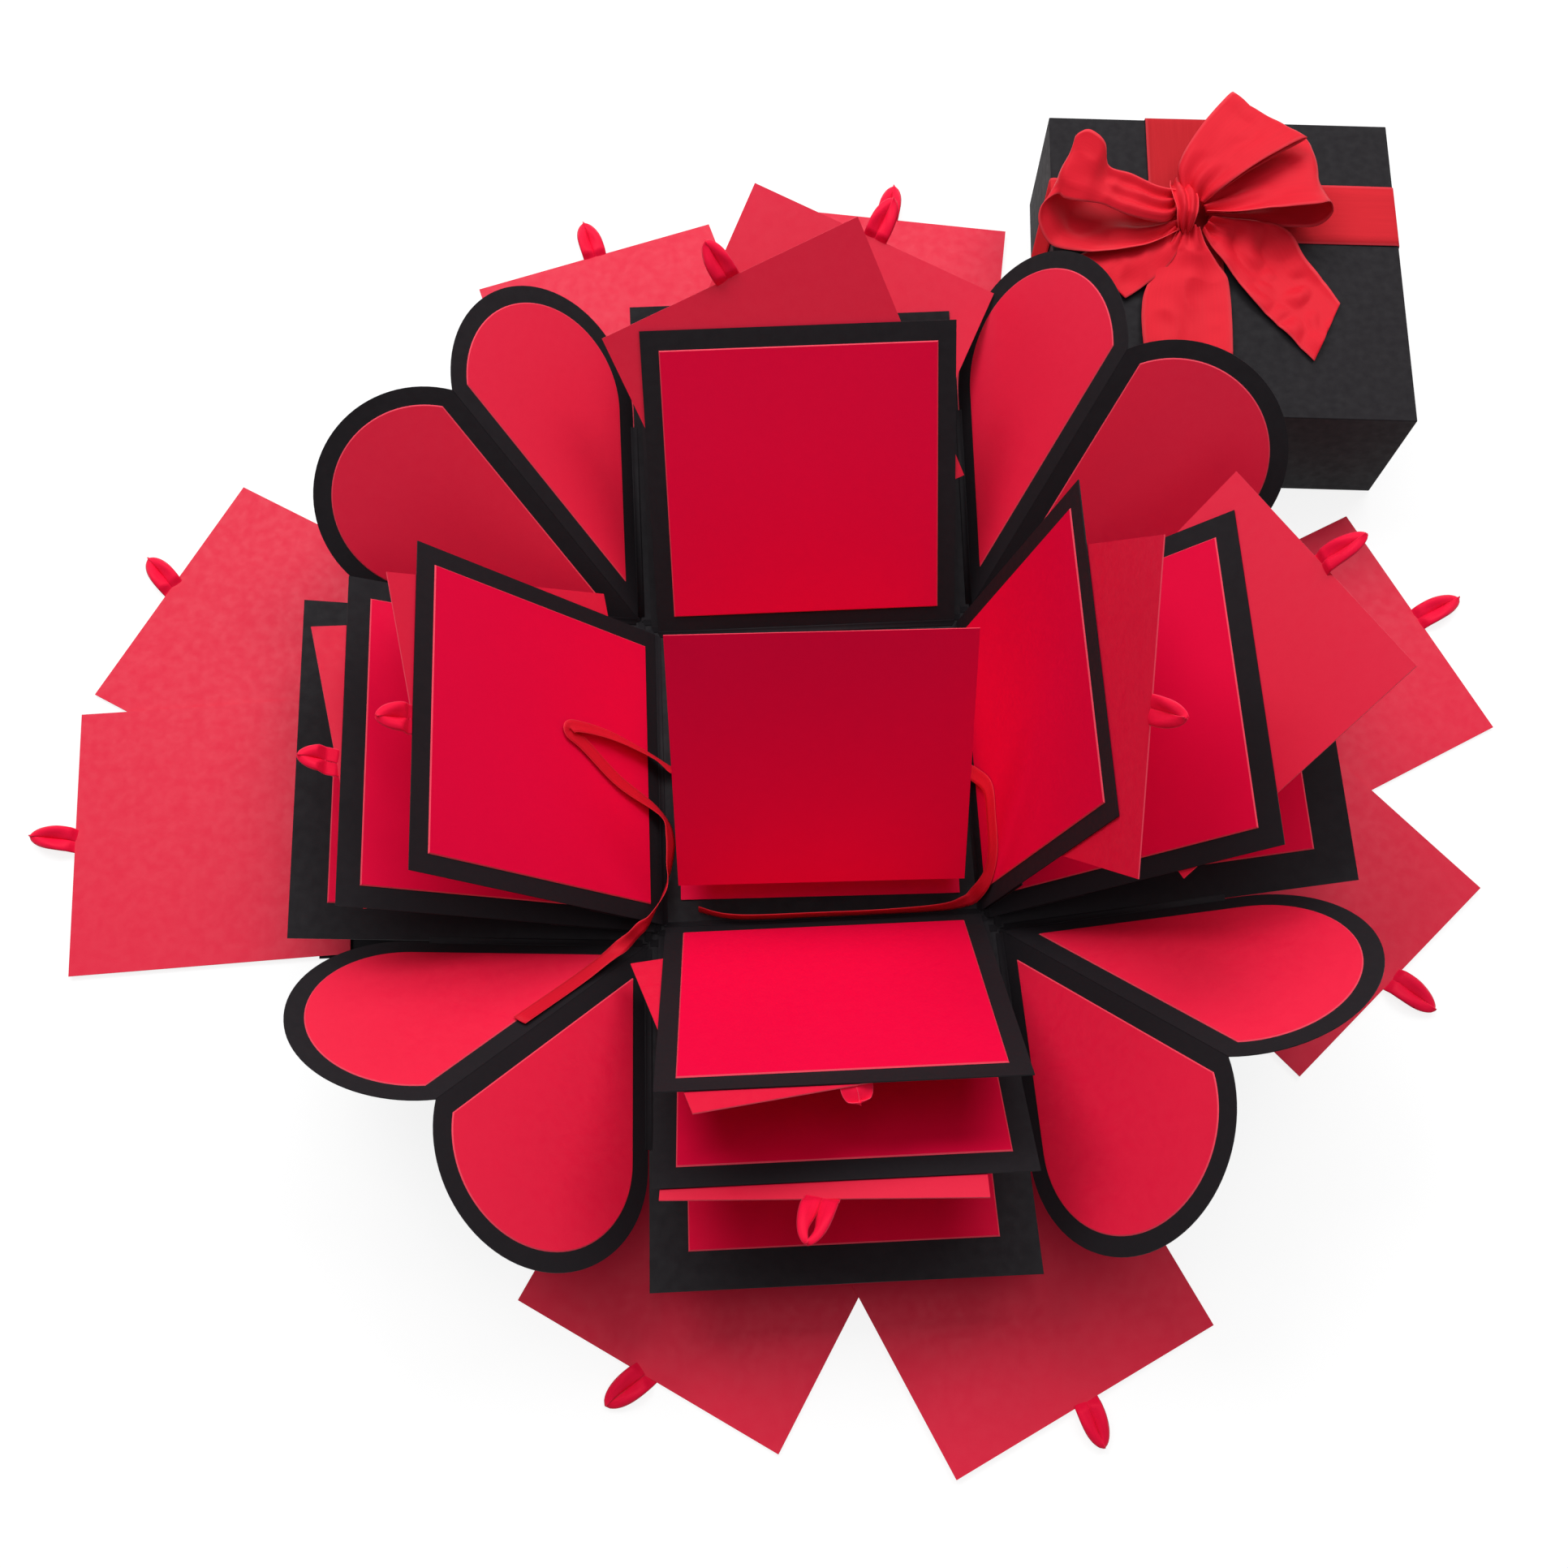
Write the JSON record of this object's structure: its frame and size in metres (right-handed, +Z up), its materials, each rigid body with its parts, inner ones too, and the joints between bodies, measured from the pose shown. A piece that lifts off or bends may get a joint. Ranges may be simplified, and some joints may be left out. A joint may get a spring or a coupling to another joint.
{
  "type": "explosion box",
  "caption": "Open explosion gift box: nested paper boxes folded out round an accordion album, with heart corners, pull cards in pockets and a lid with a ribbon bow",
  "frame": {"origin": "middle of the underside of the outer base, on the table", "axes": "+Z up; +Y to the back side of the open box and +X to its right side, as the picture is seen"},
  "size_m": [0.6461, 0.5998, 0.185],
  "materials": {
    "black_card": "matt black card, about 300 g",
    "red_card": "matt red card with a faint grain",
    "satin_ribbon": "red polyester satin ribbon"
  },
  "bodies": {
    "base": {"base_outer": "black_card", "base_middle": "black_card", "base_inner": "black_card", "album_bottom_leaf": "red_card", "tie_ribbon_left": "satin_ribbon", "tie_ribbon_right": "satin_ribbon"},
    "outer_back": {"panel_outer_back": "black_card", "mat_outer_back": "red_card"},
    "middle_back": {"panel_middle_back": "black_card", "mat_middle_back": "red_card"},
    "inner_back": {"panel_inner_back": "black_card", "mat_inner_back": "red_card"},
    "card_inner_back": {"card_inner_back": "red_card"},
    "card_middle_back": {"card_middle_back": "red_card"},
    "card_outer_back_1": {"card_outer_back_1": "red_card"},
    "card_outer_back_2": {"card_outer_back_2": "red_card"},
    "outer_right": {"panel_outer_right": "black_card", "mat_outer_right": "red_card"},
    "middle_right": {"panel_middle_right": "black_card", "mat_middle_right": "red_card"},
    "inner_right": {"panel_inner_right": "black_card", "mat_inner_right": "red_card"},
    "card_inner_right": {"card_inner_right": "red_card"},
    "card_middle_right": {"card_middle_right": "red_card"},
    "card_outer_right_1": {"card_outer_right_1": "red_card"},
    "card_outer_right_2": {"card_outer_right_2": "red_card"},
    "outer_front": {"panel_outer_front": "black_card", "mat_outer_front": "red_card"},
    "middle_front": {"panel_middle_front": "black_card", "mat_middle_front": "red_card"},
    "inner_front": {"panel_inner_front": "black_card", "mat_inner_front": "red_card"},
    "card_inner_front": {"card_inner_front": "red_card"},
    "card_middle_front": {"card_middle_front": "red_card"},
    "card_outer_front_1": {"card_outer_front_1": "red_card"},
    "card_outer_front_2": {"card_outer_front_2": "red_card"},
    "outer_left": {"panel_outer_left": "black_card", "mat_outer_left": "red_card"},
    "middle_left": {"panel_middle_left": "black_card", "mat_middle_left": "red_card"},
    "inner_left": {"panel_inner_left": "black_card", "mat_inner_left": "red_card"},
    "card_inner_left": {"card_inner_left": "red_card"},
    "card_middle_left": {"card_middle_left": "red_card"},
    "card_outer_left_1": {"card_outer_left_1": "red_card"},
    "card_outer_left_2": {"card_outer_left_2": "red_card"},
    "heart_back_right_on_back": {"heart_back_right_on_back": "black_card"},
    "heart_back_right_on_right": {"heart_back_right_on_right": "black_card"},
    "heart_front_right_on_right": {"heart_front_right_on_right": "black_card"},
    "heart_front_right_on_front": {"heart_front_right_on_front": "black_card"},
    "heart_front_left_on_front": {"heart_front_left_on_front": "black_card"},
    "heart_front_left_on_left": {"heart_front_left_on_left": "black_card"},
    "heart_back_left_on_left": {"heart_back_left_on_left": "black_card"},
    "heart_back_left_on_back": {"heart_back_left_on_back": "black_card"},
    "album_middle": {"album_middle_leaf": "red_card"},
    "album_cover": {"album_cover": "red_card"},
    "lid": {"lid": "black_card", "lid_ribbon": "satin_ribbon", "bow_loops": "satin_ribbon", "bow_tails": "satin_ribbon"}
  },
  "joints": [
    {"name": "fold_outer_back", "type": "hinge", "parent": "base", "child": "outer_back", "pos_m": [0, 0.075, 0.00025], "axis": [1, 0, 0], "range_deg": [0, 12.8]},
    {"name": "fold_middle_back", "type": "hinge", "parent": "base", "child": "middle_back", "pos_m": [0, 0.071, 0.00105], "axis": [1, 0, 0], "range_deg": [0, 40.05]},
    {"name": "fold_inner_back", "type": "hinge", "parent": "base", "child": "inner_back", "pos_m": [0, 0.068, 0.00185], "axis": [1, 0, 0], "range_deg": [0, 39.05]},
    {"name": "slide_inner_back", "type": "slide", "parent": "inner_back", "child": "card_inner_back", "axis": [0.3827, -0.6973, -0.6061], "range_m": [-0.03, 0.015]},
    {"name": "slide_middle_back", "type": "slide", "parent": "middle_back", "child": "card_middle_back", "axis": [-0.2164, -0.9052, -0.3657], "range_m": [-0.03, 0.026]},
    {"name": "slide_outer_back_1", "type": "slide", "parent": "outer_back", "child": "card_outer_back_1", "axis": [0.2807, -0.9598, 0], "range_m": [-0.004, 0.0585]},
    {"name": "slide_outer_back_2", "type": "slide", "parent": "outer_back", "child": "card_outer_back_2", "axis": [-0.1685, -0.9857, 0], "range_m": [-0.004, 0.07]},
    {"name": "fold_outer_right", "type": "hinge", "parent": "base", "child": "outer_right", "pos_m": [0.075, 0, 0.00025], "axis": [0, -1, 0], "range_deg": [0, 13.1]},
    {"name": "fold_middle_right", "type": "hinge", "parent": "base", "child": "middle_right", "pos_m": [0.071, 0, 0.00105], "axis": [0, -1, 0], "range_deg": [0, 27.65]},
    {"name": "fold_inner_right", "type": "hinge", "parent": "base", "child": "inner_right", "pos_m": [0.068, 0, 0.00185], "axis": [0, -1, 0], "range_deg": [0, 7.56], "deforming": ["tie_ribbon_right"]},
    {"name": "slide_inner_right", "type": "slide", "parent": "inner_right", "child": "card_inner_right", "axis": [-0.2293, 0.4019, -0.8865], "range_m": [-0.03, 0.026]},
    {"name": "slide_middle_right", "type": "slide", "parent": "middle_right", "child": "card_middle_right", "axis": [-0.6373, -0.4802, -0.6027], "range_m": [-0.03, 0.018]},
    {"name": "slide_outer_right_1", "type": "slide", "parent": "outer_right", "child": "card_outer_right_1", "axis": [-0.91, -0.4147, 0], "range_m": [-0.004, 0.0665]},
    {"name": "slide_outer_right_2", "type": "slide", "parent": "outer_right", "child": "card_outer_right_2", "axis": [-0.6494, 0.7604, 0], "range_m": [-0.004, 0.0409]},
    {"name": "fold_outer_front", "type": "hinge", "parent": "base", "child": "outer_front", "pos_m": [0, -0.075, 0.00025], "axis": [-1, 0, 0], "range_deg": [0, 18.2]},
    {"name": "fold_middle_front", "type": "hinge", "parent": "base", "child": "middle_front", "pos_m": [0, -0.071, 0.00105], "axis": [-1, 0, 0], "range_deg": [0, 32.25]},
    {"name": "fold_inner_front", "type": "hinge", "parent": "base", "child": "inner_front", "pos_m": [0, -0.068, 0.00185], "axis": [-1, 0, 0], "range_deg": [0, 29.64]},
    {"name": "slide_inner_front", "type": "slide", "parent": "inner_front", "child": "card_inner_front", "axis": [-0.2317, 0.6201, -0.7495], "range_m": [-0.03, 0.0021]},
    {"name": "slide_middle_front", "type": "slide", "parent": "middle_front", "child": "card_middle_front", "axis": [0.0489, 0.8202, -0.57], "range_m": [-0.03, 0.006]},
    {"name": "slide_outer_front_1", "type": "slide", "parent": "outer_front", "child": "card_outer_front_1", "axis": [0.5225, 0.8526, 0], "range_m": [-0.004, 0.035]},
    {"name": "slide_outer_front_2", "type": "slide", "parent": "outer_front", "child": "card_outer_front_2", "axis": [-0.4368, 0.8996, 0], "range_m": [-0.004, 0.0475]},
    {"name": "fold_outer_left", "type": "hinge", "parent": "base", "child": "outer_left", "pos_m": [-0.075, 0, 0.00025], "axis": [0, 1, 0], "range_deg": [0, 18.1]},
    {"name": "fold_middle_left", "type": "hinge", "parent": "base", "child": "middle_left", "pos_m": [-0.071, 0, 0.00105], "axis": [0, 1, 0], "range_deg": [0, 38.66]},
    {"name": "fold_inner_left", "type": "hinge", "parent": "base", "child": "inner_left", "pos_m": [-0.068, 0, 0.00185], "axis": [0, 1, 0], "range_deg": [0, 30.95], "deforming": ["tie_ribbon_left"]},
    {"name": "slide_inner_left", "type": "slide", "parent": "inner_left", "child": "card_inner_left", "axis": [0.6356, 0.2402, -0.7337], "range_m": [-0.03, 0.0011]},
    {"name": "slide_middle_left", "type": "slide", "parent": "middle_left", "child": "card_middle_left", "axis": [0.8506, 0.2164, -0.4793], "range_m": [-0.03, 0.0056]},
    {"name": "slide_outer_left_1", "type": "slide", "parent": "outer_left", "child": "card_outer_left_1", "axis": [0.8607, -0.509, 0], "range_m": [-0.004, 0.07]},
    {"name": "slide_outer_left_2", "type": "slide", "parent": "outer_left", "child": "card_outer_left_2", "axis": [0.9993, 0.0384, 0], "range_m": [-0.004, 0.07]},
    {"name": "fold_heart_back_right_on_back", "type": "hinge", "parent": "outer_back", "child": "heart_back_right_on_back", "pos_m": [0.0756, 0.07558, 0.0004], "axis": [0, -0.9694, -0.2453], "range_deg": [0, 25.42]},
    {"name": "fold_heart_back_right_on_right", "type": "hinge", "parent": "outer_right", "child": "heart_back_right_on_right", "pos_m": [0.07556, 0.0756, 0.00047], "axis": [0.9278, 0, 0.373], "range_deg": [0, 24.51]},
    {"name": "fold_heart_front_right_on_right", "type": "hinge", "parent": "outer_right", "child": "heart_front_right_on_right", "pos_m": [0.07556, -0.0756, 0.00047], "axis": [-0.9278, 0, -0.373], "range_deg": [0, 33.02]},
    {"name": "fold_heart_front_right_on_front", "type": "hinge", "parent": "outer_front", "child": "heart_front_right_on_front", "pos_m": [0.0756, -0.07558, 0.00039], "axis": [0, -0.9711, 0.2385], "range_deg": [0, 28.59]},
    {"name": "fold_heart_front_left_on_front", "type": "hinge", "parent": "outer_front", "child": "heart_front_left_on_front", "pos_m": [-0.0756, -0.07558, 0.00039], "axis": [0, 0.9711, -0.2385], "range_deg": [0, 34.67]},
    {"name": "fold_heart_front_left_on_left", "type": "hinge", "parent": "outer_left", "child": "heart_front_left_on_left", "pos_m": [-0.07558, -0.0756, 0.0004], "axis": [-0.9664, 0, 0.2571], "range_deg": [0, 34.66]},
    {"name": "fold_heart_back_left_on_left", "type": "hinge", "parent": "outer_left", "child": "heart_back_left_on_left", "pos_m": [-0.07558, 0.0756, 0.0004], "axis": [0.9664, 0, -0.2571], "range_deg": [0, 26.69]},
    {"name": "fold_heart_back_left_on_back", "type": "hinge", "parent": "outer_back", "child": "heart_back_left_on_back", "pos_m": [-0.0756, 0.07558, 0.0004], "axis": [0, 0.9694, 0.2453], "range_deg": [0, 32.17]},
    {"name": "album_leaf_fold", "type": "hinge", "parent": "base", "child": "album_middle", "pos_m": [0.00179, 0.06198, 0.00305], "axis": [0.9998, -0.0192, 0], "range_deg": [-40, 8.2]},
    {"name": "album_cover_fold", "type": "hinge", "parent": "album_middle", "child": "album_cover", "pos_m": [-0.00049, -0.05663, 0.02116], "axis": [-0.9998, 0.0192, 0], "range_deg": [-50, 61.3]},
    {"name": "lid_lift", "type": "slide", "parent": "base", "child": "lid", "axis": [0.6099, 0.6099, 0.5059], "range_m": [0, 0.12]}
  ],
  "couplings": [
    {"joint": "fold_middle_back", "follows": "fold_outer_back", "ratio": 3.125},
    {"joint": "fold_inner_back", "follows": "fold_outer_back", "ratio": 3.047},
    {"joint": "fold_middle_right", "follows": "fold_outer_right", "ratio": 2.107},
    {"joint": "fold_inner_right", "follows": "fold_outer_right", "ratio": 0.573},
    {"joint": "fold_middle_front", "follows": "fold_outer_front", "ratio": 1.769},
    {"joint": "fold_inner_front", "follows": "fold_outer_front", "ratio": 1.626},
    {"joint": "fold_middle_left", "follows": "fold_outer_left", "ratio": 2.133},
    {"joint": "fold_inner_left", "follows": "fold_outer_left", "ratio": 1.707},
    {"joint": "fold_heart_back_right_on_back", "follows": "fold_outer_back", "ratio": 1.982},
    {"joint": "fold_heart_back_right_on_right", "follows": "fold_outer_right", "ratio": 1.867},
    {"joint": "fold_heart_front_right_on_right", "follows": "fold_outer_right", "ratio": 2.517},
    {"joint": "fold_heart_front_right_on_front", "follows": "fold_outer_front", "ratio": 1.568},
    {"joint": "fold_heart_front_left_on_front", "follows": "fold_outer_front", "ratio": 1.902},
    {"joint": "fold_heart_front_left_on_left", "follows": "fold_outer_left", "ratio": 1.912},
    {"joint": "fold_heart_back_left_on_left", "follows": "fold_outer_left", "ratio": 1.472},
    {"joint": "fold_heart_back_left_on_back", "follows": "fold_outer_back", "ratio": 2.509}
  ]
}
